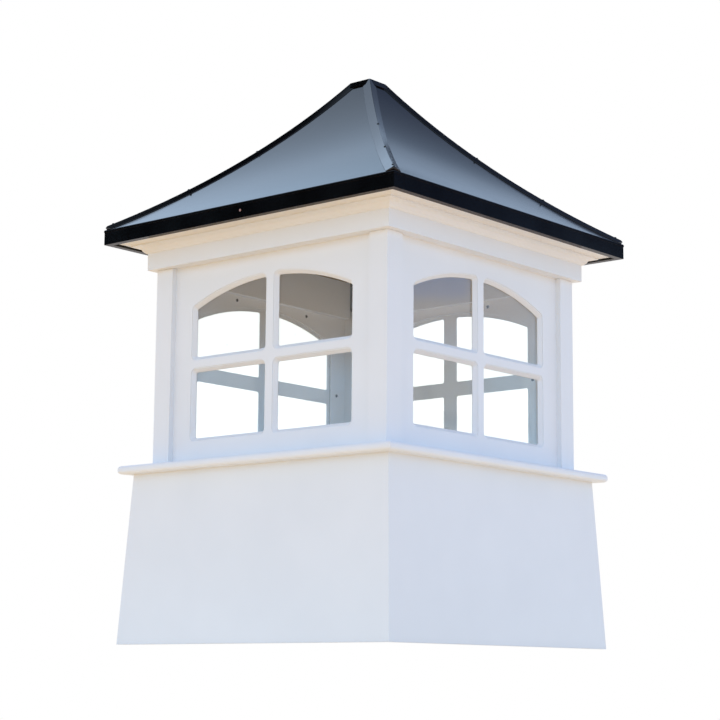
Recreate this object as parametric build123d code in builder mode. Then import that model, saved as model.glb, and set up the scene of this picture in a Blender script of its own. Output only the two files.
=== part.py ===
from build123d import *
import os
from math import atan2, cos, degrees, radians, sin

# Driving sizes, in millimetres

# Base skirt that straddles the barn roof: its head stands proud of the tower and its foot flares
base_reach = 34.5
base_flare = 23.5
base_height = 445.0
board = 19.0

# Sill ledge on top of the base
sill_reach = 65.0
sill_thickness = 22.0
sill_nose = 9.0

# Glazed tower
tower_width = 800.0
post_width = 58.0
panel_recess = 15.0
panel_thickness = 18.0
tower_height = 611.0

# Arched window of four lites, measured to the clear edge of the wood
window_width = 537.0
window_foot = 68.0
lower_lite_height = 175.0
bar_height = 40.5
upper_lite_height = 129.0
arch_rise = 57.0
muntin_width = 45.0
lite_corner = 6.0

# Routed edge of each lite: a shallow quirk and a sloping bevel
quirk_depth = 2.0
quirk_width = 2.5
bevel_width = 8.0

# Glass and the rabbet that holds it
glass_thickness = 4.0
rabbet_depth = 6.0
rabbet_overlap = 12.0
glass_clearance = 1.0

# Header boards inside the tower
header_height = 108.0

# Frieze and crown moulding under the eave
frieze_height = 81.0
frieze_reach = 19.0
crown_height = 35.0
crown_lip = 3.0
crown_bead = 6.5
crown_bead_height = 5.0
crown_fillet = 4.5
crown_fillet_height = 8.0
crown_cove = 43.0
crown_cove_height = 13.0
crown_cove_sag = 1.5
crown_step = 4.0
crown_step_share = 0.45
crown_edge = 4.0

# Roof plate, drip edge and concave hipped roof
plate_thickness = 26.0
drip_gap = 5.5
drip_thickness = 3.0
drip_height = 40.0
drip_lip = 18.0
drip_setback = 1.0
roof_rise = 433.0
roof_sag = 30.0
roof_thickness = 12.0
roof_top_width = 60.0
eave_turn = 6.0
eave_fold = 4.0

# Hip caps, each leaf measured level along the eave, and the cap on the head of the roof
hip_cap_width = 26.0
hip_cap_edge = 2.0
hip_cap_rise = 8.0
hip_cap_foot_pitch = 60.0
top_cap_skirt = 14.0
top_cap_lid = 4.0
top_cap_wall = 4.0

# Heights and half widths that follow from the sizes above
sill_top = base_height + sill_thickness
plate_bottom = sill_top + tower_height
plate_top = plate_bottom + plate_thickness
frieze_bottom = plate_bottom - frieze_height
crown_bottom = plate_bottom - crown_height
tower_half = tower_width / 2
base_top_half = tower_half + base_reach
base_half = base_top_half + base_flare
sill_half = tower_half + sill_reach
post_inner = tower_half - post_width
panel_face = tower_half - panel_recess
panel_back = panel_face - panel_thickness
header_face = panel_back - board
frieze_face = tower_half + frieze_reach
bead_out = frieze_face + crown_lip + crown_bead
cove_in = bead_out + crown_fillet
cove_out = cove_in + crown_cove
cove_foot = crown_bottom + crown_bead_height + crown_fillet_height
cove_head = cove_foot + crown_cove_height
step_out = cove_in + crown_step_share * crown_cove
step_foot = cove_foot + crown_step_share * (crown_cove_height - crown_step)
crown_out = cove_out + crown_edge
eave_half = crown_out + drip_gap + drip_lip
drip_face = eave_half - drip_setback
plate_half = eave_half - drip_thickness
drip_bottom = plate_top - drip_height
run = 2 * eave_half
roof_top = plate_top + roof_rise
roof_top_half = roof_top_width / 2
hip_cap_depth = hip_cap_edge + hip_cap_rise
leaf_pitch = hip_cap_rise / hip_cap_width
cap_head = roof_top - top_cap_skirt
lid_top = roof_top + top_cap_lid

quarter_turn = 90
side_names = ("right", "back", "left", "front")
side_angles = {name: turn * quarter_turn for turn, name in enumerate(side_names)}
corner_names = ("back_right", "back_left", "front_left", "front_right")
corner_angles = {name: turn * quarter_turn for turn, name in enumerate(corner_names)}


def direction(angle):
    """Level unit vector at an angle from +X."""
    return Vector(cos(radians(angle)), sin(radians(angle)), 0)


def section_plane(angle):
    """Upright plane through the axis: local X runs outwards, local Y runs up."""
    return Plane(origin=(0, 0, 0), x_dir=direction(angle), z_dir=direction(angle - quarter_turn))


def face_plane(angle, reach):
    """Upright plane facing outwards: local X runs along the wall, local Y runs up."""
    return Plane(
        origin=direction(angle) * reach,
        x_dir=direction(angle + quarter_turn),
        z_dir=direction(angle),
    )


def mitre(angle):
    """Cut the running length to its quarter of the plan, along both diagonals."""
    half_turn = quarter_turn / 2
    for lean in (-half_turn, half_turn):
        split(bisect_by=Plane(origin=(0, 0, 0), z_dir=direction(angle + lean)), keep=Keep.TOP)


def finish(piece, name):
    """Name a finished piece and write it."""
    piece.part.label = name
    export_step(piece.part, f"parts/{name}.step")


def arched_outline(grow):
    """Segmental arch over straight jambs, grown evenly by a margin."""
    half = window_width / 2
    jamb = lower_lite_height + bar_height + upper_lite_height
    radius = (half**2 + arch_rise**2) / (2 * arch_rise) + grow
    centre_height = jamb + arch_rise + grow - radius
    wide = half + grow
    spring = centre_height + (radius**2 - wide**2) ** 0.5
    with BuildSketch() as outline:
        with BuildLine():
            Polyline((-wide, spring), (-wide, -grow), (wide, -grow), (wide, spring))
            ThreePointArc((wide, spring), (0, centre_height + radius), (-wide, spring))
        make_face()
    return outline.sketch


def roof_section(depth):
    """Layer of even depth under the concave slope."""
    with BuildSketch() as section:
        with BuildLine():
            slope = SagittaArc((eave_half, plate_top), (roof_top_half, roof_top), roof_sag)
            offset(slope, amount=depth, side=Side.LEFT)
        make_face()
    return section.sketch


def slope_half(level):
    """Half width of the roof's concave face at a level."""
    chord = Vector(roof_top_half - eave_half, roof_rise)
    radius = (chord.length**2 / 4 + roof_sag**2) / (2 * roof_sag)
    middle = Vector(eave_half + roof_top_half, plate_top + roof_top) / 2
    centre = middle + chord.rotate(Axis.Z, -quarter_turn).normalized() * (radius - roof_sag)
    return centre.X - (radius**2 - (centre.Y - level) ** 2) ** 0.5


def leaf_section():
    """Layer of a hip cap's leaf on the axis plane: the slope, tilted to climb towards the hip."""
    points = []
    for level in (plate_top, plate_top + roof_rise / 2, roof_top):
        half = slope_half(level)
        points.append((half, level + hip_cap_depth - leaf_pitch * half))
    with BuildSketch() as section:
        with BuildLine():
            leaf = ThreePointArc(*points)
            offset(leaf, amount=hip_cap_depth, side=Side.LEFT)
        make_face()
    return section.sketch


os.makedirs("parts", exist_ok=True)

# Base skirt: four flared boards, mitred at the corners
for side, angle in side_angles.items():
    with BuildPart() as base_board:
        with BuildSketch(section_plane(angle)):
            with BuildLine():
                Polyline(
                    (base_half, 0),
                    (base_top_half, base_height),
                    (base_top_half - board, base_height),
                    (base_half - board, 0),
                    close=True,
                )
            make_face()
        extrude(amount=run, both=True)
        mitre(angle)
    finish(base_board, f"base_{side}")

# Sill ledge: four boards with a rounded outer edge
for side, angle in side_angles.items():
    with BuildPart() as sill:
        with BuildSketch(section_plane(angle)):
            with BuildLine():
                Polyline(
                    (post_inner, base_height),
                    (sill_half, base_height),
                    (sill_half, sill_top),
                    (post_inner, sill_top),
                    close=True,
                )
            section = make_face()
            fillet(section.vertices().group_by(Axis.X)[-1], sill_nose)
        extrude(amount=run, both=True)
        mitre(angle)
    finish(sill, f"sill_{side}")

# Corner posts: square outside, with the inner corner taken off between the panels
for corner, angle in corner_angles.items():
    with BuildPart() as post:
        with BuildSketch(Plane.XY.offset(sill_top).rotated((0, 0, angle))):
            with BuildLine():
                Polyline(
                    (tower_half, tower_half),
                    (post_inner, tower_half),
                    (post_inner, panel_back),
                    (panel_back, post_inner),
                    (tower_half, post_inner),
                    close=True,
                )
            make_face()
        extrude(amount=frieze_bottom - sill_top)
    finish(post, f"post_{corner}")

# Window panels: one board a side, with four lites cut through and a rabbet behind
for side, angle in side_angles.items():
    with BuildPart() as panel:
        with BuildSketch(face_plane(angle, panel_face)):
            with Locations((0, sill_top + tower_height / 2)):
                Rectangle(2 * post_inner, tower_height)
        extrude(amount=-panel_thickness)
        window_origin = direction(angle) * panel_face + Vector(0, 0, sill_top + window_foot)
        window_plane = Plane(
            origin=window_origin,
            x_dir=direction(angle + quarter_turn),
            z_dir=direction(angle),
        )
        with BuildSketch(window_plane) as lites:
            add(arched_outline(0))
            with Locations((0, lower_lite_height + bar_height / 2)):
                Rectangle(window_width, bar_height, mode=Mode.SUBTRACT)
            with Locations((0, tower_height / 2)):
                Rectangle(muntin_width, tower_height, mode=Mode.SUBTRACT)
            with Locations((0, 0)):
                Rectangle(muntin_width, tower_height, mode=Mode.SUBTRACT)
            fillet(lites.vertices(), lite_corner)
        extrude(amount=-panel_thickness, mode=Mode.SUBTRACT)
        with BuildSketch(window_plane):
            add(window_plane.to_local_coords(lites.sketch))
            offset(amount=quirk_width + bevel_width)
        extrude(amount=-quirk_depth, mode=Mode.SUBTRACT)
        with BuildSketch(window_plane.offset(-panel_thickness)):
            add(arched_outline(rabbet_overlap))
        extrude(amount=rabbet_depth, mode=Mode.SUBTRACT)
        outwards = Axis(origin=(0, 0, 0), direction=direction(angle))
        quirk_floors = panel.faces().filter_by(window_plane).group_by(outwards)[-2]
        arrises = [wire.edges() for floor in quirk_floors for wire in floor.inner_wires()]
        chamfer(arrises, bevel_width)
    finish(panel, f"window_panel_{side}")

    with BuildPart() as glass:
        with BuildSketch(window_plane.offset(rabbet_depth - panel_thickness)):
            add(arched_outline(rabbet_overlap - glass_clearance))
        extrude(amount=-glass_thickness)
    finish(glass, f"glass_{side}")

# Header boards along the inside of the panels, joined in one frame
with BuildPart() as header:
    for angle in side_angles.values():
        with BuildSketch(face_plane(angle, panel_back)):
            with Locations((0, plate_bottom - header_height / 2)):
                Rectangle(2 * post_inner, header_height)
        extrude(amount=-board)
finish(header, "header_boards")

# Frieze boards over the posts
for side, angle in side_angles.items():
    with BuildPart() as frieze:
        with BuildSketch(section_plane(angle)):
            with BuildLine():
                Polyline(
                    (panel_face, frieze_bottom),
                    (frieze_face, frieze_bottom),
                    (frieze_face, plate_bottom),
                    (panel_face, plate_bottom),
                    close=True,
                )
            make_face()
        extrude(amount=run, both=True)
        mitre(angle)
    finish(frieze, f"frieze_{side}")

# Crown moulding: bead, fillet and a wide cove in two steps up to the eave
for side, angle in side_angles.items():
    with BuildPart() as crown:
        with BuildSketch(section_plane(angle)):
            with BuildLine():
                Polyline(
                    (frieze_face, plate_bottom),
                    (frieze_face, crown_bottom),
                    (frieze_face + crown_lip, crown_bottom),
                    (bead_out, crown_bottom + crown_bead_height),
                    (cove_in, cove_foot),
                )
                SagittaArc((cove_in, cove_foot), (step_out, step_foot), crown_cove_sag)
                Line((step_out, step_foot), (step_out, step_foot + crown_step))
                SagittaArc((step_out, step_foot + crown_step), (cove_out, cove_head), crown_cove_sag)
                Polyline(
                    (cove_out, cove_head),
                    (crown_out, cove_head),
                    (crown_out, plate_bottom),
                    (frieze_face, plate_bottom),
                )
            make_face()
        extrude(amount=run, both=True)
        mitre(angle)
    finish(crown, f"crown_{side}")

# Roof plate: a square ring that carries the roof on the tower
with BuildPart() as plate:
    with BuildSketch(Plane.XY.offset(plate_bottom)):
        Rectangle(2 * plate_half, 2 * plate_half)
        Rectangle(2 * header_face, 2 * header_face, mode=Mode.SUBTRACT)
    extrude(amount=plate_thickness)
finish(plate, "roof_plate")

# Drip edge: upright metal leaf under the roof's turned edge, with a lip turned in at the foot
for side, angle in side_angles.items():
    with BuildPart() as drip_edge:
        with BuildSketch(section_plane(angle)):
            with BuildLine():
                Polyline(
                    (drip_face, plate_top - eave_turn),
                    (drip_face, drip_bottom),
                    (drip_face - drip_lip, drip_bottom),
                    (drip_face - drip_lip, drip_bottom + drip_thickness),
                    (plate_half, drip_bottom + drip_thickness),
                    (plate_half, plate_top - eave_turn),
                    close=True,
                )
            make_face()
        extrude(amount=run, both=True)
        mitre(angle)
    finish(drip_edge, f"drip_edge_{side}")

# Roof: four concave panels that meet on the hips, their lower edge folded down over the eave
for side, angle in side_angles.items():
    with BuildPart() as roof_panel:
        with BuildSketch(section_plane(angle)) as section:
            add(roof_section(roof_thickness))
            with Locations((eave_half, plate_top)):
                Rectangle(run, roof_thickness, align=(Align.CENTER, Align.MAX), mode=Mode.SUBTRACT)
                Rectangle(drip_thickness, eave_turn, align=Align.MAX)
            fillet(section.vertices().sort_by_distance((eave_half, plate_top))[0], eave_fold)
        extrude(amount=run, both=True)
        mitre(angle)
    finish(roof_panel, f"roof_panel_{side}")

# Hip caps: strips of V section along the hips, each leaf climbing from its slope to the ridge
hip_caps = []
for corner, angle in corner_angles.items():
    hip_angle = angle + quarter_turn / 2
    hip_plane = Plane(origin=(0, 0, 0), z_dir=direction(hip_angle + quarter_turn))
    leaf_edge = hip_plane.offset(-hip_cap_width * sin(radians(quarter_turn / 2)))
    climb = direction(angle + quarter_turn) + Vector(0, 0, leaf_pitch)
    eave_corner = direction(hip_angle) * eave_half / cos(radians(quarter_turn / 2)) + Vector(0, 0, plate_top)
    foot_lean = radians(hip_cap_foot_pitch)
    foot_cut = Plane(eave_corner, z_dir=direction(hip_angle) * sin(foot_lean) + Vector(0, 0, cos(foot_lean)))
    with BuildPart() as hip_cap:
        with BuildSketch(section_plane(angle)):
            add(leaf_section())
        extrude(amount=run, dir=climb, both=True)
        with BuildSketch(section_plane(angle)):
            add(roof_section(2 * hip_cap_depth))
        extrude(amount=run, both=True, mode=Mode.SUBTRACT)
        split(bisect_by=face_plane(angle, roof_top_half), keep=Keep.TOP)
        split(bisect_by=foot_cut, keep=Keep.BOTTOM)
        split(bisect_by=Plane.XY.offset(lid_top), keep=Keep.BOTTOM)
        split(bisect_by=hip_plane, keep=Keep.BOTTOM)
        split(bisect_by=leaf_edge, keep=Keep.TOP)
        mirror(about=hip_plane)
    hip_caps.append(hip_cap.part)
    finish(hip_cap, f"hip_cap_{corner}")

# Top cap: a small lid with a skirt that closes the head of the roof, notched round the hip caps
with BuildPart() as top_cap:
    for wall, lid, mode in ((top_cap_wall, top_cap_lid, Mode.ADD), (0, 0, Mode.SUBTRACT)):
        foot_half = slope_half(cap_head) + wall
        lean = degrees(atan2(foot_half - roof_top_half - wall, top_cap_skirt + lid))
        with BuildSketch(Plane.XY.offset(cap_head)):
            Rectangle(2 * foot_half, 2 * foot_half)
        extrude(amount=top_cap_skirt + lid, taper=lean, mode=mode)
    for notch in hip_caps:
        add(notch, mode=Mode.SUBTRACT)
finish(top_cap, "top_cap")
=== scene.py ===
"""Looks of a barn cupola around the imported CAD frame: boards, steel roof, glazing, fasteners and stage."""

import math

import bpy
from bpy.props import FloatProperty, FloatVectorProperty, IntProperty, PointerProperty
from mathutils import Matrix, Vector


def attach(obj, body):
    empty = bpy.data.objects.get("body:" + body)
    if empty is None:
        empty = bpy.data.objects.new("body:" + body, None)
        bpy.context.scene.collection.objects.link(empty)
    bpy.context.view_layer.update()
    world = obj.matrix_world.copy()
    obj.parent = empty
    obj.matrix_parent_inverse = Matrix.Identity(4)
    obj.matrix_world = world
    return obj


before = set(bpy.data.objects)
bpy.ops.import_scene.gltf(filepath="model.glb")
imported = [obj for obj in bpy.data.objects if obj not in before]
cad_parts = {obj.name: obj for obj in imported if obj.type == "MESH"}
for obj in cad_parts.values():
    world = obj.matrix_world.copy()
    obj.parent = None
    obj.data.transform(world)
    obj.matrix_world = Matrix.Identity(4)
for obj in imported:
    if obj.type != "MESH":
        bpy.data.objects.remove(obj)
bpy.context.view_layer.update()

bl_info = {
    "name": "Barn Cupola",
    "version": (1, 0, 0),
    "blender": (4, 5, 0),
    "location": "View3D > Sidebar > Cupola",
    "description": "Finishes, fasteners and stage of a barn cupola",
    "category": "Object",
}

MM = 0.001
SIDES = ("front", "right", "back", "left")
CORNERS = ("front_left", "front_right", "back_right", "back_left")

# Outward direction of each side and of each corner, in plan
SIDE_OUT = {
    "front": Vector((0, -1, 0)),
    "right": Vector((1, 0, 0)),
    "back": Vector((0, 1, 0)),
    "left": Vector((-1, 0, 0)),
}
CORNER_OUT = {
    "front_left": Vector((-1, -1, 0)),
    "front_right": Vector((1, -1, 0)),
    "back_right": Vector((1, 1, 0)),
    "back_left": Vector((-1, 1, 0)),
}
UP = Vector((0, 0, 1))

# Pieces with one CAD node on each side, and nodes that stand alone
BOARD_PIECES = ("base", "sill", "window_panel", "frieze", "crown")
SHEET_PIECES = ("roof_panel", "drip_edge")
HEADER_NODE = "header_boards"
PLATE_NODE = "roof_plate"
LID_NODE = "top_cap"

# Eased edges: gap that is welded first, steps of the rounding and least angle that is rounded
WELD_GAP = 0.01 * MM
EASE_STEPS = 2
EASE_ANGLE = math.radians(35)

# Fastener heads: sides, shares of the radius for the dome, its flat top, its least step and the rim of a
# recess, and the angle up to which a head is shaded smooth
HEAD_SIDES = 20
DOME_SHARE = 0.9
FLAT_SHARE = 0.25
STEP_SHARE = 0.02
RIM_SHARE = 0.04
SMOOTH_ANGLE = math.radians(40)
# Distance in metres from which rays look for a seat
RAY_REACH = 3
# Half the run over which a hip's slope is taken, and how deep a rivet sits in it
SLOPE_REACH = 4 * MM
RIVET_SINK = 0.6 * MM
# Panel screws of each side: distance along the panel and height, in millimetres
PANEL_SCREWS = {
    "front": ((-145, 955), (145, 955), (-300, 735), (300, 735)),
    "right": ((-145, 955), (145, 955), (-300, 735), (300, 735)),
    "back": ((-136, 953), (154, 953), (-288, 731), (288, 731)),
    "left": ((-169, 954), (122, 956), (-306, 737), (306, 737)),
}

# Sizes of the finishes' patterns
BOARD_CLOUD = 180 * MM
BOARD_SKIN = 3 * MM
STEEL_DUST = 90 * MM
STEEL_WAVE = 220 * MM
GLASS_FILM = 120 * MM
GRAIN_LENGTH = 200 * MM
GRAIN_WIDTH = 9 * MM
METAL_WEAR = 2 * MM
# Least and most roughness of the finishes, and how far wear moves a fastener's
BOARD_GLOSS = (0.36, 0.5)
STEEL_GLOSS = (0.09, 0.14)
GLASS_GLOSS = (0.0, 0.03)
WEAR_GLOSS = 0.08
# Noise between which the steel's dust sets in, and the most that lies on it
DUST_RANGE = (0.3, 0.8)
DUST_MOST = 0.5
# Z of a face's normal where the brown painted in place of warm ground light on undersides sets in and
# where it is full, and the shine of the top coat and of those painted undersides
PAINTED_UNDERSIDE_RANGE = (-0.6, -0.8)
STEEL_SHINE = (0.5, 0.04)
# Share of a fastener's colour that is left where it is worn
WORN_SHARE = 0.7

# Sockets of a Mix node that mixes colours
MIX_SHARE, MIX_FIRST, MIX_SECOND, MIX_RESULT = 0, 6, 7, 2
WHITE = (1.0, 1.0, 1.0, 1.0)
# White behind glass, raised by about what the faces of two sheets mirror away
WHITE_BEHIND_GLASS = 1.2

# Camera: sensor in millimetres, and the nearest and furthest that it sees in metres
SENSOR = 36
NEAREST = 0.05
FURTHEST = 100

# Direction to the right of the picture, and how far along it the light of the two sides blends
RIGHT_HAND = (0.766, 0.643, 0)
BLEND_REACH = 0.5

# Floor: width and depth below the base, in metres
FLOOR_SIZE = 40
FLOOR_DROP = 0.5 * MM
# Warm matt that looks white under the blue daylight, and the light of its own that lifts it to white
FLOOR_MATT = (0.95, 0.83, 0.61)
FLOOR_LIFT = (0.43, 0.43, 0.44)
# Half of the base's width, within which the floor is white from below
BASE_HALF = 0.4575
# Half widths between which the ground comes out from under the base, and its share of light there
UNDER_RANGE = (0.42, 0.47)
UNDER_LIGHT = 0.1
# Half widths over which the painted shade around the base's foot fades, and the share of light in it
PAINTED_SHADE_RANGE = (0.42, 0.75)
PAINTED_SHADE_LIGHT = 0.5
# Distances between which the ground comes out of the cupola's shade
SHADE_RANGE = (0.9, 1.9)

# Dome of the mirrored sky: radius and height of its foot, in metres. It is so wide that the sky looks
# equally far all over the roof
DOME_RADIUS = 300
DOME_FOOT = -0.05
# Sky that the steel mirrors, by heading in degrees from +X: dark surroundings, a slate sky and a bright sky
MIRRORED_SKY = (
    (-180, (0.0, 0.0, 0.0)),
    (-85, (0.0, 0.0, 0.0)),
    (-64, (0.45, 0.58, 0.80)),
    (-38, (0.85, 1.10, 1.45)),
    (-12, (0.75, 0.95, 1.20)),
    (0, (0.0, 0.0, 0.0)),
    (40, (0.03, 0.04, 0.08)),
    (60, (0.04, 0.05, 0.09)),
    (100, (0.11, 0.15, 0.26)),
    (108, (0.17, 0.22, 0.33)),
    (113.5, (0.24, 0.32, 0.46)),
    (117, (0.43, 0.56, 0.76)),
    (130, (0.52, 0.70, 0.95)),
    (140, (0.68, 0.92, 1.22)),
    (147, (0.87, 1.13, 1.48)),
    (156, (0.75, 0.95, 1.23)),
    (165, (0.72, 0.89, 1.14)),
    (174, (0.76, 0.95, 1.24)),
    (180, (0.0, 0.0, 0.0)),
)
# Share of that sky by elevation in degrees: overhead it is dark
SKY_HEIGHTS = ((0, 1.0), (51.5, 1.0), (55, 0.06), (90, 0.06))
# Patches of that sky between two headings and two elevations, with the width of their soft edges, in
# degrees: pale bands near the horizon, which the window glass mirrors, a blue gap over one of them, and
# haze on the other sides and overhead
LOW_BAND = (0.55, 1.2, 1.85)
PALE_BAND = (0.85, 1.2, 1.8)
BLUE_GAP = (0.2, 0.85, 2.2)
HAZE = (0.50, 0.62, 0.80)
SKY_PATCHES = (
    (-190, 20, -5, 9.6, 0.5, LOW_BAND),
    (53.4, 190, -5, 9.6, 0.5, LOW_BAND),
    (40, 56, 9.8, 12.2, 0.3, PALE_BAND),
    (40, 53.1, 11.5, 12.4, 0.15, BLUE_GAP),
    (-155, -92, 30, 62, 6, HAZE),
    (8, 66, 30, 62, 6, HAZE),
    (-155, 66, 58, 98, 6, HAZE),
    (-190, 190, 74, 98, 6, HAZE),
)


def srgb(code):
    """Turns an sRGB hex code into linear red, green and blue."""
    shares = [int(code[i : i + 2], 16) / 255 for i in (1, 3, 5)]
    return tuple(s / 12.92 if s <= 0.04045 else ((s + 0.055) / 1.055) ** 2.4 for s in shares)


def rgba(colour):
    """Adds full alpha to a colour."""
    return (*colour, 1.0)


def add_node(tree, kind, values=None, links=None, **settings):
    """Adds one shader node, sets its fields and input values and links its inputs."""
    made = tree.nodes.new(kind)
    for field, value in settings.items():
        setattr(made, field, value)
    for socket, value in (values or {}).items():
        made.inputs[socket].default_value = value
    for socket, source in (links or {}).items():
        tree.links.new(source, made.inputs[socket])
    return made


def sort_terms(terms):
    """Parts a node's inputs into plain values and links."""
    links = {key: term for key, term in terms.items() if isinstance(term, bpy.types.NodeSocket)}
    return {key: term for key, term in terms.items() if key not in links}, links


def calc(tree, operation, *terms):
    """Adds a sum of one or two terms, each a number or a socket."""
    values, links = sort_terms(dict(enumerate(terms)))
    return add_node(tree, "ShaderNodeMath", values, links, operation=operation).outputs[0]


def span(tree, value, low, high, start=0.0, end=1.0):
    """Maps a value between start and end to one between low and high."""
    values = {"From Min": start, "From Max": end, "To Min": low, "To Max": high}
    return add_node(tree, "ShaderNodeMapRange", values, {"Value": value}).outputs["Result"]


def blend(tree, share, first, second):
    """Mixes two colours by a share, each a colour or a socket."""
    values, links = sort_terms({MIX_FIRST: first, MIX_SECOND: second})
    values = {key: rgba(colour) for key, colour in values.items()}
    made = add_node(tree, "ShaderNodeMix", values, {MIX_SHARE: share, **links}, data_type="RGBA")
    return made.outputs[MIX_RESULT]


def either(tree, share, first, second):
    """Mixes two shaders by a share."""
    return add_node(tree, "ShaderNodeMixShader", links={0: share, 1: first, 2: second}).outputs[0]


def noise(tree, place, size, detail):
    """Adds soft noise with patches of about this size."""
    values = {"Scale": 1 / size, "Detail": detail}
    return add_node(tree, "ShaderNodeTexNoise", values, {"Vector": place}).outputs["Fac"]


def relief(tree, height, strength, depth):
    """Adds small relief to a surface."""
    values = {"Strength": strength, "Distance": depth}
    return add_node(tree, "ShaderNodeBump", values, {"Height": height}).outputs["Normal"]


def object_place(tree):
    """Gives the place on an object, in metres."""
    return add_node(tree, "ShaderNodeTexCoord").outputs["Object"]


def new_material(name):
    """Makes an empty node material and returns it with its tree."""
    made = bpy.data.materials.new(name)
    made.use_nodes = True
    made.node_tree.nodes.clear()
    return made, made.node_tree


def end_material(tree, values, links):
    """Ends a material with its surface."""
    shader = add_node(tree, "ShaderNodeBsdfPrincipled", values, links)
    add_node(tree, "ShaderNodeOutputMaterial", links={"Surface": shader.outputs["BSDF"]})


def paint(names, made):
    """Gives each named CAD node one material."""
    for name in names:
        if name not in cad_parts:
            raise RuntimeError(f"the frame has no node {name}")
        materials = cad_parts[name].data.materials
        materials.clear()
        materials.append(made)


def ease_edges(name, width):
    """Rounds a CAD node's sharp edges a little, as paint and handling do."""
    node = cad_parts[name]
    weld = node.modifiers.new("weld", "WELD")
    weld.merge_threshold = WELD_GAP
    ease = node.modifiers.new("ease", "BEVEL")
    ease.width = width
    ease.segments = EASE_STEPS
    ease.limit_method = "ANGLE"
    ease.angle_limit = EASE_ANGLE
    node.modifiers.new("normals", "WEIGHTED_NORMAL")


def select_only(objects):
    """Selects these objects and makes the first one active."""
    bpy.ops.object.select_all(action="DESELECT")
    for obj in objects:
        obj.select_set(True)
    bpy.context.view_layer.objects.active = objects[0]


def extrude_up(height):
    """Extrudes the selected faces along z."""
    bpy.ops.mesh.extrude_region_move(TRANSFORM_OT_translate={"value": (0, 0, height)})


def model_head(name, radius, height, rim_share, rings, recess_share=0):
    """Models a fastener's head about the origin, with its seat at z 0 and a stem below it."""
    bpy.ops.object.select_all(action="DESELECT")
    bpy.ops.mesh.primitive_circle_add(
        vertices=HEAD_SIDES, radius=radius, fill_type="NGON", enter_editmode=True
    )
    head = bpy.context.object
    head.name = name
    head.data.name = name
    bpy.ops.mesh.select_all(action="SELECT")
    bpy.ops.transform.translate(value=(0, 0, -height))
    extrude_up(height * (1 + rim_share))
    # Rings that close in and rise to a dome
    dome = height * (1 - rim_share)
    for ring in range(rings):
        low = math.cos(math.pi / 2 * (1 - ring / rings))
        high = math.cos(math.pi / 2 * (1 - (ring + 1) / rings))
        wide = math.cos(math.asin(low))
        narrow = math.cos(math.asin(high))
        step = radius * DOME_SHARE * (wide - max(narrow, FLAT_SHARE))
        bpy.ops.mesh.inset(thickness=max(step, STEP_SHARE * radius), depth=dome * (high - low))
    if recess_share > 0:
        bpy.ops.mesh.inset(thickness=RIM_SHARE * radius, depth=0)
        extrude_up(-height * recess_share)
    bpy.ops.mesh.select_all(action="SELECT")
    bpy.ops.mesh.normals_make_consistent(inside=False)
    bpy.ops.object.mode_set(mode="OBJECT")
    select_only([head])
    bpy.ops.object.shade_smooth_by_angle(angle=SMOOTH_ANGLE)
    return head


def set_heads(pattern, name, places, made):
    """Copies a head to each place, joins the copies into one piece and hangs it on the root body."""
    copies = []
    for point, out in places:
        copy = pattern.copy()
        copy.data = pattern.data.copy()
        bpy.context.collection.objects.link(copy)
        turn = UP.rotation_difference(out).to_matrix().to_4x4()
        copy.matrix_world = Matrix.Translation(point) @ turn
        copies.append(copy)
    select_only(copies)
    bpy.ops.object.transform_apply(location=True, rotation=True, scale=True)
    if len(copies) > 1:
        bpy.ops.object.join()
    piece = bpy.context.view_layer.objects.active
    piece.name = name
    piece.data.name = name
    piece.data.materials.clear()
    piece.data.materials.append(made)
    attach(piece, "root")


def drop(obj):
    """Removes a pattern object that was only copied."""
    mesh = obj.data
    bpy.data.objects.remove(obj)
    bpy.data.meshes.remove(mesh)


def seat(name, origin, direction):
    """Finds where a ray meets a CAD node."""
    hit, point, _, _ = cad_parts[name].ray_cast(origin, direction)
    if not hit:
        raise RuntimeError(f"no seat found on {name}")
    return point


class CupolaFinish(bpy.types.PropertyGroup):
    """Colours and edge sizes of the cupola's finishes."""

    board: FloatVectorProperty(
        name="Board",
        description="White of the trim boards",
        subtype="COLOR",
        min=0,
        max=1,
        default=srgb("#EDEFF1"),
    )
    board_shade: FloatVectorProperty(
        name="Board shade",
        description="Greyer white of the boards' cloudy patches",
        subtype="COLOR",
        min=0,
        max=1,
        default=srgb("#E4E7EA"),
    )
    steel: FloatVectorProperty(
        name="Steel",
        description="Black of the painted steel",
        subtype="COLOR",
        min=0,
        max=1,
        default=srgb("#050506"),
    )
    steel_dust: FloatVectorProperty(
        name="Steel dust",
        description="Dusty grey that lies thinly on the steel",
        subtype="COLOR",
        min=0,
        max=1,
        default=srgb("#0F1012"),
    )
    # Painted light: the brown that faces looking down get, in place of warm light thrown up by the ground
    steel_painted_ground_light: FloatVectorProperty(
        name="Steel back coat",
        description="Brown back coat on the undersides of the sheet",
        subtype="COLOR",
        min=0,
        max=1,
        default=srgb("#2C1F17"),
    )
    glass: FloatVectorProperty(
        name="Glass",
        description="Faint green of the float glass",
        subtype="COLOR",
        min=0,
        max=1,
        default=srgb("#FDFFFE"),
    )
    plywood: FloatVectorProperty(
        name="Plywood",
        description="Pale grain of the plywood",
        subtype="COLOR",
        min=0,
        max=1,
        default=srgb("#B59A76"),
    )
    plywood_grain: FloatVectorProperty(
        name="Plywood grain",
        description="Dark grain of the plywood",
        subtype="COLOR",
        min=0,
        max=1,
        default=srgb("#8F7350"),
    )
    board_ease: FloatProperty(
        name="Board ease",
        description="Rounding of the edges of the posts and header boards",
        unit="LENGTH",
        min=0,
        default=1.5 * MM,
    )
    steel_ease: FloatProperty(
        name="Steel ease",
        description="Rounding of the hip caps' folded edges",
        unit="LENGTH",
        min=0,
        default=0.8 * MM,
    )


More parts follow.
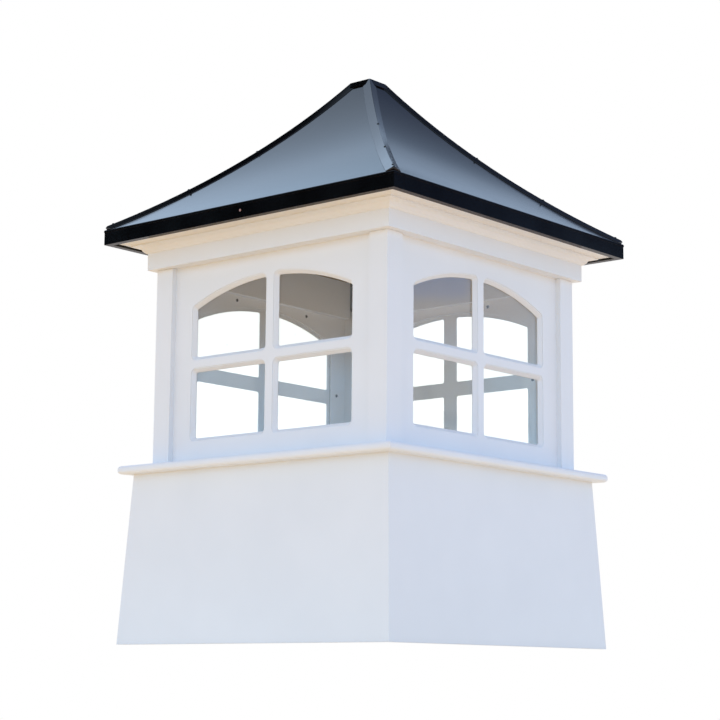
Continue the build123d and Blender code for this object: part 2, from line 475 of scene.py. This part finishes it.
class CupolaFasteners(bpy.types.PropertyGroup):
    """Sizes and places of the rivets and screws."""

    rivet_radius: FloatProperty(
        name="Rivet radius",
        description="Radius of a hip rivet's head",
        unit="LENGTH",
        min=0,
        default=3.2 * MM,
    )
    rivet_height: FloatProperty(
        name="Rivet height",
        description="Height of a hip rivet's head",
        unit="LENGTH",
        min=0,
        default=2.2 * MM,
    )
    rivet_reach: FloatVectorProperty(
        name="Rivet reach",
        description="Distance of each hip rivet from the roof's axis, measured along a side",
        unit="LENGTH",
        size=3,
        default=(215 * MM, 345 * MM, 487 * MM),
    )
    screw_radius: FloatProperty(
        name="Screw radius",
        description="Radius of a panel screw's head",
        unit="LENGTH",
        min=0,
        default=4.5 * MM,
    )
    screw_height: FloatProperty(
        name="Screw height",
        description="Height of a panel screw's head",
        unit="LENGTH",
        min=0,
        default=2.4 * MM,
    )
    drip_radius: FloatProperty(
        name="Drip screw radius",
        description="Radius of the eave screw's flat head",
        unit="LENGTH",
        min=0,
        default=3.4 * MM,
    )
    drip_proud: FloatProperty(
        name="Drip screw height",
        description="How far the eave screw stands proud",
        unit="LENGTH",
        min=0,
        default=0.4 * MM,
    )
    drip_place: FloatVectorProperty(
        name="Drip screw place",
        description="Place along the front eave and height of the eave screw",
        unit="LENGTH",
        size=2,
        default=(1.3 * MM, 1083.6 * MM),
    )
    rivet_colour: FloatVectorProperty(
        name="Rivet colour",
        description="Black of the rivets",
        subtype="COLOR",
        min=0,
        max=1,
        default=srgb("#101114"),
    )
    screw_colour: FloatVectorProperty(
        name="Screw colour",
        description="Dark bronze of the panel screws",
        subtype="COLOR",
        min=0,
        max=1,
        default=srgb("#4B4038"),
    )
    drip_colour: FloatVectorProperty(
        name="Drip screw colour",
        description="Reddish brown of the eave screw",
        subtype="COLOR",
        min=0,
        max=1,
        default=srgb("#A88078"),
    )


class CupolaStage(bpy.types.PropertyGroup):
    """Camera, daylight and ground."""

    place: FloatVectorProperty(
        name="Camera place",
        description="Place of the camera",
        subtype="TRANSLATION",
        unit="LENGTH",
        default=(3.2975, -3.9397, -0.0957),
    )
    heading: FloatProperty(
        name="Heading",
        description="Turn of the camera to the left of +Y",
        subtype="ANGLE",
        default=math.radians(40.111),
    )
    pitch: FloatProperty(
        name="Pitch",
        description="How far the camera looks up",
        subtype="ANGLE",
        default=math.radians(9.523),
    )
    roll: FloatProperty(
        name="Roll",
        description="Turn of the camera about its view",
        subtype="ANGLE",
        default=math.radians(0.452),
    )
    lens: FloatProperty(
        name="Lens",
        description="Focal length",
        unit="CAMERA",
        min=1,
        default=96.47,
    )
    sky_left: FloatVectorProperty(
        name="Left sky",
        description="Daylight from low on the front and left",
        subtype="COLOR",
        default=(1.16, 1.57, 1.90),
        min=0,
        max=4,
    )
    sky_right: FloatVectorProperty(
        name="Right sky",
        description="Daylight from low on the right and back",
        subtype="COLOR",
        default=(0.76, 1.22, 1.72),
        min=0,
        max=4,
    )
    sky_high: FloatVectorProperty(
        name="High sky",
        description="Daylight from overhead",
        subtype="COLOR",
        default=(0.49, 0.40, 0.60),
        min=0,
        max=4,
    )
    ground_left: FloatVectorProperty(
        name="Left ground",
        description="Light of the sunlit ground in front and on the left",
        subtype="COLOR",
        default=(0.96, 0.59, 0.22),
        min=0,
        max=4,
    )
    ground_right: FloatVectorProperty(
        name="Right ground",
        description="Light of the sunlit ground on the right and behind",
        subtype="COLOR",
        default=(1.02, 0.78, 0.59),
        min=0,
        max=4,
    )
    shaded_ground: FloatVectorProperty(
        name="Shaded ground",
        description="Light of the ground close to the cupola",
        subtype="COLOR",
        default=(0.88, 0.75, 0.59),
        min=0,
        max=4,
    )
    mirrored: FloatProperty(
        name="Mirrored sky",
        description="Brightness of the sky that the steel mirrors",
        min=0,
        max=4,
        default=1.0,
    )
    dome_rings: IntProperty(
        name="Sky rings",
        description="Rings of the mirrored sky's dome",
        min=8,
        default=24,
    )


def trim_board(finish):
    """Makes the boards' white."""
    made, tree = new_material("cellular_pvc_trim")
    place = object_place(tree)
    # Broad clouds keep the large white boards from looking flat
    cloud = noise(tree, place, BOARD_CLOUD, detail=2.0)
    # Fine skin of the moulded board
    skin = noise(tree, place, BOARD_SKIN, detail=3.0)
    surface = {
        "Base Color": blend(tree, cloud, finish.board, finish.board_shade),
        # Satin gloss that wanders a little with the clouds
        "Roughness": span(tree, cloud, *BOARD_GLOSS),
        "Normal": relief(tree, skin, strength=0.12, depth=0.1 * MM),
    }
    end_material(tree, {"IOR": 1.46, "Specular IOR Level": 0.35}, surface)
    return made


def painted_steel(finish):
    """Makes the roof's black."""
    made, tree = new_material("prepainted_steel")
    place = object_place(tree)
    # Thin dust in soft patches greys the black here and there
    dust = noise(tree, place, STEEL_DUST, detail=1.0)
    thin = span(tree, dust, 0.0, DUST_MOST, *DUST_RANGE)
    top = blend(tree, thin, finish.steel, finish.steel_dust)
    # Faces that look down get a brown and a duller shine painted on, in place of the warm light
    # that the ground throws up on them
    normal = add_node(tree, "ShaderNodeTexCoord").outputs["Normal"]
    facing = add_node(tree, "ShaderNodeSeparateXYZ", links={"Vector": normal})
    down = span(tree, facing.outputs["Z"], 0.0, 1.0, *PAINTED_UNDERSIDE_RANGE)
    # Slow waves of thin sheet, as it buckles a little between its folds
    wave = noise(tree, place, STEEL_WAVE, detail=0.0)
    surface = {
        "Base Color": blend(tree, down, top, finish.steel_painted_ground_light),
        # Soft sheen that wanders with the dust
        "Roughness": span(tree, dust, *STEEL_GLOSS),
        "Specular IOR Level": span(tree, down, *STEEL_SHINE),
        "Normal": relief(tree, wave, strength=0.05, depth=2 * MM),
    }
    end_material(tree, {"IOR": 1.5}, surface)
    return made


def float_glass(finish):
    """Makes the window glass."""
    made, tree = new_material("float_glass")
    # Faint film on the glass softens what it mirrors
    film = noise(tree, object_place(tree), GLASS_FILM, detail=3.0)
    clear = {"Base Color": rgba(finish.glass), "Transmission Weight": 1.0, "IOR": 1.52}
    end_material(tree, clear, {"Roughness": span(tree, film, *GLASS_GLOSS)})
    return made


def plywood(finish):
    """Makes the roof plate's wood."""
    made, tree = new_material("softwood_plywood")
    # Long streaks along the sheet read as rotary-cut grain
    scale = (1 / GRAIN_LENGTH, 1 / GRAIN_WIDTH, 1 / GRAIN_WIDTH)
    stretch = add_node(tree, "ShaderNodeMapping", {"Scale": scale}, {"Vector": object_place(tree)})
    streaks = add_node(
        tree,
        "ShaderNodeTexNoise",
        {"Scale": 1.0, "Detail": 4.0, "Distortion": 0.4},
        {"Vector": stretch.outputs["Vector"]},
    )
    grain = streaks.outputs["Fac"]
    surface = {
        "Base Color": blend(tree, grain, finish.plywood, finish.plywood_grain),
        "Normal": relief(tree, grain, strength=0.3, depth=0.3 * MM),
    }
    end_material(tree, {"Roughness": 0.75}, surface)
    return made


def fastener_metal(name, colour, metallic, rough):
    """Makes a fastener's coated metal, with wear that breaks up its shine."""
    made, tree = new_material(name)
    wear = noise(tree, object_place(tree), METAL_WEAR, detail=3.0)
    surface = {
        "Base Color": blend(tree, wear, colour, [WORN_SHARE * c for c in colour]),
        "Roughness": span(tree, wear, rough - WEAR_GLOSS, rough + WEAR_GLOSS),
    }
    end_material(tree, {"Metallic": metallic}, surface)
    return made


class CUPOLA_OT_boards(bpy.types.Operator):
    """Gives the boards and posts their satin white and eases the edges of posts and header boards."""

    bl_idname = "cupola.boards"
    bl_label = "Finish the boards"

    def execute(self, context):
        finish = context.scene.cupola_finish
        names = [f"{piece}_{side}" for piece in BOARD_PIECES for side in SIDES]
        posts = [f"post_{corner}" for corner in CORNERS]
        # Cellular PVC trim board: a satin white that takes the light softly
        paint(names + posts + [HEADER_NODE], trim_board(finish))
        for name in posts + [HEADER_NODE]:
            ease_edges(name, finish.board_ease)
        return {"FINISHED"}


class CUPOLA_OT_roof(bpy.types.Operator):
    """Gives the roof sheets, drip edges, hip caps and lid their black paint and eases the hip caps."""

    bl_idname = "cupola.roof"
    bl_label = "Finish the roof"

    def execute(self, context):
        finish = context.scene.cupola_finish
        sheets = [f"{piece}_{side}" for piece in SHEET_PIECES for side in SIDES]
        caps = [f"hip_cap_{corner}" for corner in CORNERS]
        # Prepainted steel: a black that mirrors the sky softly, most where it is seen on edge
        paint(sheets + caps + [LID_NODE], painted_steel(finish))
        for name in caps:
            ease_edges(name, finish.steel_ease)
        return {"FINISHED"}


class CUPOLA_OT_glazing(bpy.types.Operator):
    """Gives the window sheets clear glass that lets daylight in."""

    bl_idname = "cupola.glazing"
    bl_label = "Glaze the windows"

    def execute(self, context):
        names = [f"glass_{side}" for side in SIDES]
        # Float glass: clear, with a faint green and a thin film
        paint(names, float_glass(context.scene.cupola_finish))
        for name in names:
            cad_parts[name].visible_shadow = False
            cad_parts[name].visible_diffuse = False
        return {"FINISHED"}


class CUPOLA_OT_plate(bpy.types.Operator):
    """Gives the ring plate under the roof its plywood grain."""

    bl_idname = "cupola.plate"
    bl_label = "Finish the roof plate"

    def execute(self, context):
        # Softwood plywood: a warm pale wood with long streaks
        paint([PLATE_NODE], plywood(context.scene.cupola_finish))
        return {"FINISHED"}


class CUPOLA_OT_rivets(bpy.types.Operator):
    """Sets the rivets along the ridges of the four hip caps."""

    bl_idname = "cupola.rivets"
    bl_label = "Set the hip rivets"

    def execute(self, context):
        sizes = context.scene.cupola_fasteners
        # Black painted rivet: a small dark dome that catches a glint
        made = fastener_metal("painted_rivet", sizes.rivet_colour, metallic=0.0, rough=0.4)
        pattern = model_head("rivet", sizes.rivet_radius, sizes.rivet_height, rim_share=0.2, rings=4)
        above = UP * RAY_REACH
        for corner in CORNERS:
            out = CORNER_OUT[corner]
            node = f"hip_cap_{corner}"
            places = []
            for reach in sizes.rivet_reach:
                # The ridge's slope, from two points close together on it
                high = seat(node, out * (reach - SLOPE_REACH) + above, -UP)
                low = seat(node, out * (reach + SLOPE_REACH) + above, -UP)
                run = (low - high).normalized()
                across = run.cross(UP).normalized()
                normal = across.cross(run).normalized()
                if normal.z < 0:
                    normal.negate()
                point = seat(node, out * reach + above, -UP)
                places.append((point - normal * RIVET_SINK, normal))
            set_heads(pattern, f"hip_rivets_{corner}", places, made)
        drop(pattern)
        return {"FINISHED"}


class CUPOLA_OT_screws(bpy.types.Operator):
    """Sets the screws on the inner faces of the window panels."""

    bl_idname = "cupola.screws"
    bl_label = "Set the panel screws"

    def execute(self, context):
        sizes = context.scene.cupola_fasteners
        # Dark bronze screw: a dull brown head that shows against the white inside
        made = fastener_metal("bronze_screw", sizes.screw_colour, metallic=0.6, rough=0.45)
        pattern = model_head(
            "screw", sizes.screw_radius, sizes.screw_height, rim_share=0.3, rings=3, recess_share=0.5
        )
        for side in SIDES:
            out = SIDE_OUT[side]
            along = UP.cross(out)
            places = []
            for shift, height in PANEL_SCREWS[side]:
                origin = (along * shift + UP * height) * MM
                places.append((seat(f"window_panel_{side}", origin, out), -out))
            set_heads(pattern, f"panel_screws_{side}", places, made)
        drop(pattern)
        return {"FINISHED"}


class CUPOLA_OT_drip_screw(bpy.types.Operator):
    """Sets the flat screw in the middle of the front drip edge."""

    bl_idname = "cupola.drip_screw"
    bl_label = "Set the eave screw"

    def execute(self, context):
        sizes = context.scene.cupola_fasteners
        # Plain steel screw gone reddish brown: one small dull dot on the black eave
        made = fastener_metal("rusted_screw", sizes.drip_colour, metallic=0.0, rough=0.55)
        pattern = model_head("screw", sizes.drip_radius, sizes.drip_proud, rim_share=0.5, rings=2)
        out = SIDE_OUT["front"]
        shift, height = sizes.drip_place
        origin = Vector((shift, 0, height)) + out * RAY_REACH
        places = [(seat("drip_edge_front", origin, -out), out)]
        set_heads(pattern, "drip_screw_front", places, made)
        drop(pattern)
        return {"FINISHED"}


class CUPOLA_OT_stage(bpy.types.Operator):
    """Sets the camera, the daylight, the white floor and the mirrored sky."""

    bl_idname = "cupola.stage"
    bl_label = "Set the stage"

    def execute(self, context):
        stage = context.scene.cupola_stage
        self.set_camera(context, stage)
        self.set_world(context, stage)
        self.set_floor(stage)
        self.set_dome(stage)
        context.scene.view_settings.view_transform = "Standard"
        return {"FINISHED"}

    def set_camera(self, context, stage):
        """Puts the camera where the picture was taken from."""
        turn, pitch, roll = stage.heading, stage.pitch, stage.roll
        level = Vector((-math.sin(turn), math.cos(turn), 0))
        ahead = level * math.cos(pitch) + UP * math.sin(pitch)
        right = Vector((math.cos(turn), math.sin(turn), 0))
        above = right.cross(ahead)
        rolled_right = right * math.cos(roll) + above * math.sin(roll)
        rolled_above = above * math.cos(roll) - right * math.sin(roll)
        axes = Matrix((rolled_right, rolled_above, -ahead)).transposed()
        camera = bpy.data.objects.new("camera", bpy.data.cameras.new("camera"))
        camera.data.sensor_width = SENSOR
        camera.data.lens = stage.lens
        camera.data.clip_start = NEAREST
        camera.data.clip_end = FURTHEST
        camera.matrix_world = Matrix.Translation(stage.place) @ axes.to_4x4()
        context.scene.collection.objects.link(camera)
        context.scene.camera = camera

    def white_rays(self, tree):
        """Says which rays see plain white: camera, mirrored and transmitted ones."""
        path = add_node(tree, "ShaderNodeLightPath").outputs
        pair = calc(tree, "MAXIMUM", path["Is Camera Ray"], path["Is Glossy Ray"])
        return calc(tree, "MAXIMUM", pair, path["Is Transmission Ray"])

    def white_level(self, tree):
        """Raises the white behind glass a little."""
        path = add_node(tree, "ShaderNodeLightPath").outputs
        return span(tree, path["Is Transmission Ray"], 1.0, WHITE_BEHIND_GLASS)

    def two_sided(self, tree, direction, left, right):
        """Blends the light of the left and the right side, as the camera looks at the cupola."""
        along = add_node(
            tree, "ShaderNodeVectorMath", {1: RIGHT_HAND}, {0: direction}, operation="DOT_PRODUCT"
        )
        share = span(tree, along.outputs["Value"], 0.0, 1.0, -BLEND_REACH, BLEND_REACH)
        return blend(tree, share, left, right)

    def set_world(self, context, stage):
        """White behind the object and blue daylight on it."""
        world = bpy.data.worlds.new("daylight")
        world.use_nodes = True
        tree = world.node_tree
        tree.nodes.clear()
        white = add_node(
            tree, "ShaderNodeBackground", {"Color": WHITE}, {"Strength": self.white_level(tree)}
        )
        # Bright and blue by the horizon, darker overhead
        around = add_node(tree, "ShaderNodeTexCoord").outputs["Generated"]
        low = self.two_sided(tree, around, stage.sky_left, stage.sky_right)
        part = add_node(tree, "ShaderNodeSeparateXYZ", links={"Vector": around})
        blue = blend(tree, part.outputs["Z"], low, stage.sky_high)
        sky = add_node(tree, "ShaderNodeBackground", {"Strength": 1.0}, {"Color": blue})
        whole = either(tree, self.white_rays(tree), sky.outputs[0], white.outputs[0])
        add_node(tree, "ShaderNodeOutputWorld", links={"Surface": whole})
        context.scene.world = world

    def set_floor(self, stage):
        """A white floor that keeps the shadow and throws warm light up."""
        made, tree = new_material("white_floor")
        place = object_place(tree)
        spread = add_node(tree, "ShaderNodeVectorMath", links={0: place}, operation="ABSOLUTE")
        apart = add_node(tree, "ShaderNodeSeparateXYZ", links={"Vector": spread.outputs["Vector"]})
        widest = calc(tree, "MAXIMUM", apart.outputs["X"], apart.outputs["Y"])
        # What is seen of it: white, with a soft shade painted around the base's foot by dimming its own light
        foot = span(tree, widest, PAINTED_SHADE_LIGHT, 1.0, *PAINTED_SHADE_RANGE)
        level = calc(tree, "MULTIPLY", foot, self.white_level(tree))
        matt = add_node(tree, "ShaderNodeBsdfDiffuse", {"Color": rgba(FLOOR_MATT)})
        lift = add_node(tree, "ShaderNodeEmission", {"Color": rgba(FLOOR_LIFT)}, {"Strength": level})
        seen = add_node(tree, "ShaderNodeAddShader", links={0: matt.outputs[0], 1: lift.outputs[0]})
        # What it throws up: little under the base, shaded light close to the cupola, sunlit further out
        open_ground = span(tree, widest, UNDER_LIGHT, 1.0, *UNDER_RANGE)
        reach = add_node(tree, "ShaderNodeVectorMath", links={0: place}, operation="LENGTH")
        sunlit = span(tree, reach.outputs["Value"], 0.0, 1.0, *SHADE_RANGE)
        around = add_node(tree, "ShaderNodeVectorMath", links={0: place}, operation="NORMALIZE")
        far = self.two_sided(tree, around.outputs["Vector"], stage.ground_left, stage.ground_right)
        ground = blend(tree, sunlit, stage.shaded_ground, far)
        warm = add_node(
            tree, "ShaderNodeEmission", links={"Color": ground, "Strength": open_ground}
        )
        top = either(tree, self.white_rays(tree), warm.outputs[0], seen.outputs[0])
        # The camera stands a little lower than the floor, which is clear from below, and white under the base
        clear = add_node(tree, "ShaderNodeBsdfTransparent")
        white = add_node(tree, "ShaderNodeEmission", {"Color": WHITE, "Strength": 1.0})
        outside = calc(tree, "GREATER_THAN", widest, BASE_HALF)
        below = either(tree, outside, white.outputs[0], clear.outputs[0])
        back = add_node(tree, "ShaderNodeNewGeometry").outputs["Backfacing"]
        add_node(
            tree, "ShaderNodeOutputMaterial", links={"Surface": either(tree, back, top, below)}
        )
        bpy.ops.object.select_all(action="DESELECT")
        bpy.ops.mesh.primitive_plane_add(size=FLOOR_SIZE, location=(0, 0, -FLOOR_DROP))
        floor = bpy.context.object
        floor.name = "floor"
        floor.data.materials.append(made)

    def set_dome(self, stage):
        """A half dome that only mirrored rays see, bright on some sides and slate on others."""
        made, tree = new_material("mirrored_sky")
        part = add_node(tree, "ShaderNodeSeparateXYZ", links={"Vector": object_place(tree)}).outputs
        turn = calc(tree, "ARCTAN2", part["Y"], part["X"])
        turned = add_node(
            tree, "ShaderNodeValToRGB", links={"Fac": span(tree, turn, 0.0, 1.0, -math.pi, math.pi)}
        )
        self.set_stops(turned, [(heading / 360 + 0.5, colour) for heading, colour in MIRRORED_SKY])
        raised = add_node(
            tree, "ShaderNodeValToRGB", links={"Fac": span(tree, part["Z"], 0.0, 1.0, 0.0, DOME_RADIUS)}
        )
        heights = [(math.sin(math.radians(rise)), (share,) * 3) for rise, share in SKY_HEIGHTS]
        self.set_stops(raised, heights)
        whole = add_node(
            tree,
            "ShaderNodeMix",
            {MIX_SHARE: 1.0},
            {MIX_FIRST: turned.outputs["Color"], MIX_SECOND: raised.outputs["Color"]},
            data_type="RGBA",
            blend_type="MULTIPLY",
        ).outputs[MIX_RESULT]
        rise = calc(tree, "ARCSINE", calc(tree, "DIVIDE", part["Z"], DOME_RADIUS))
        for turn_from, turn_to, rise_from, rise_to, edge, colour in SKY_PATCHES:
            across = self.between(tree, turn, turn_from, turn_to, edge)
            upwards = self.between(tree, rise, rise_from, rise_to, edge)
            whole = blend(tree, calc(tree, "MULTIPLY", across, upwards), whole, colour)
        glow = add_node(tree, "ShaderNodeEmission", {"Strength": stage.mirrored}, {"Color": whole})
        add_node(tree, "ShaderNodeOutputMaterial", links={"Surface": glow.outputs[0]})
        rings = stage.dome_rings
        bpy.ops.object.select_all(action="DESELECT")
        bpy.ops.mesh.primitive_uv_sphere_add(
            segments=2 * rings, ring_count=rings, radius=DOME_RADIUS, enter_editmode=True
        )
        dome = bpy.context.object
        dome.name = "mirrored_sky"
        bpy.ops.mesh.select_all(action="SELECT")
        bpy.ops.mesh.bisect(plane_co=(0, 0, DOME_FOOT), plane_no=(0, 0, 1), clear_inner=True)
        bpy.ops.mesh.select_all(action="SELECT")
        bpy.ops.mesh.normals_make_consistent(inside=True)
        bpy.ops.object.mode_set(mode="OBJECT")
        select_only([dome])
        bpy.ops.object.shade_smooth()
        dome.data.materials.append(made)
        dome.visible_camera = False
        dome.visible_diffuse = False
        dome.visible_transmission = False
        dome.visible_shadow = False

    def between(self, tree, angle, start, end, edge):
        """Says how far an angle lies between two others, with soft ends."""
        start, end, edge = (math.radians(value) for value in (start, end, edge))
        after = span(tree, angle, 0.0, 1.0, start - edge, start + edge)
        before = span(tree, angle, 0.0, 1.0, end + edge, end - edge)
        return calc(tree, "MULTIPLY", after, before)

    def set_stops(self, ramp, stops):
        """Fills a colour ramp with stops."""
        points = ramp.color_ramp.elements
        while len(points) < len(stops):
            points.new(0)
        for point, (place, colour) in zip(points, stops):
            point.position = place
            point.color = rgba(colour)


class CUPOLA_PT_panel(bpy.types.Panel):
    """Lists the steps and the values of the cupola."""

    bl_idname = "CUPOLA_PT_panel"
    bl_label = "Barn Cupola"
    bl_space_type = "VIEW_3D"
    bl_region_type = "UI"
    bl_category = "Cupola"

    def draw(self, context):
        for step in STEPS:
            self.layout.operator(step.bl_idname)
        for name in GROUPS:
            group = getattr(context.scene, name)
            box = self.layout.box()
            for field in group.__annotations__:
                box.prop(group, field)


STEPS = (
    CUPOLA_OT_boards,
    CUPOLA_OT_roof,
    CUPOLA_OT_glazing,
    CUPOLA_OT_plate,
    CUPOLA_OT_rivets,
    CUPOLA_OT_screws,
    CUPOLA_OT_drip_screw,
    CUPOLA_OT_stage,
)
GROUPS = {
    "cupola_finish": CupolaFinish,
    "cupola_fasteners": CupolaFasteners,
    "cupola_stage": CupolaStage,
}


def register():
    """Registers the classes and hangs the values on the scene."""
    for cls in (*GROUPS.values(), *STEPS, CUPOLA_PT_panel):
        bpy.utils.register_class(cls)
    for name, cls in GROUPS.items():
        setattr(bpy.types.Scene, name, PointerProperty(type=cls))


def unregister():
    """Takes the values and the classes away again."""
    for name in GROUPS:
        delattr(bpy.types.Scene, name)
    for cls in (CUPOLA_PT_panel, *reversed(STEPS), *reversed(GROUPS.values())):
        bpy.utils.unregister_class(cls)


def main():
    """Registers the add-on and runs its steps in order."""
    register()
    for step in STEPS:
        group, name = step.bl_idname.split(".")
        getattr(getattr(bpy.ops, group), name)()


if __name__ == "__main__":
    main()
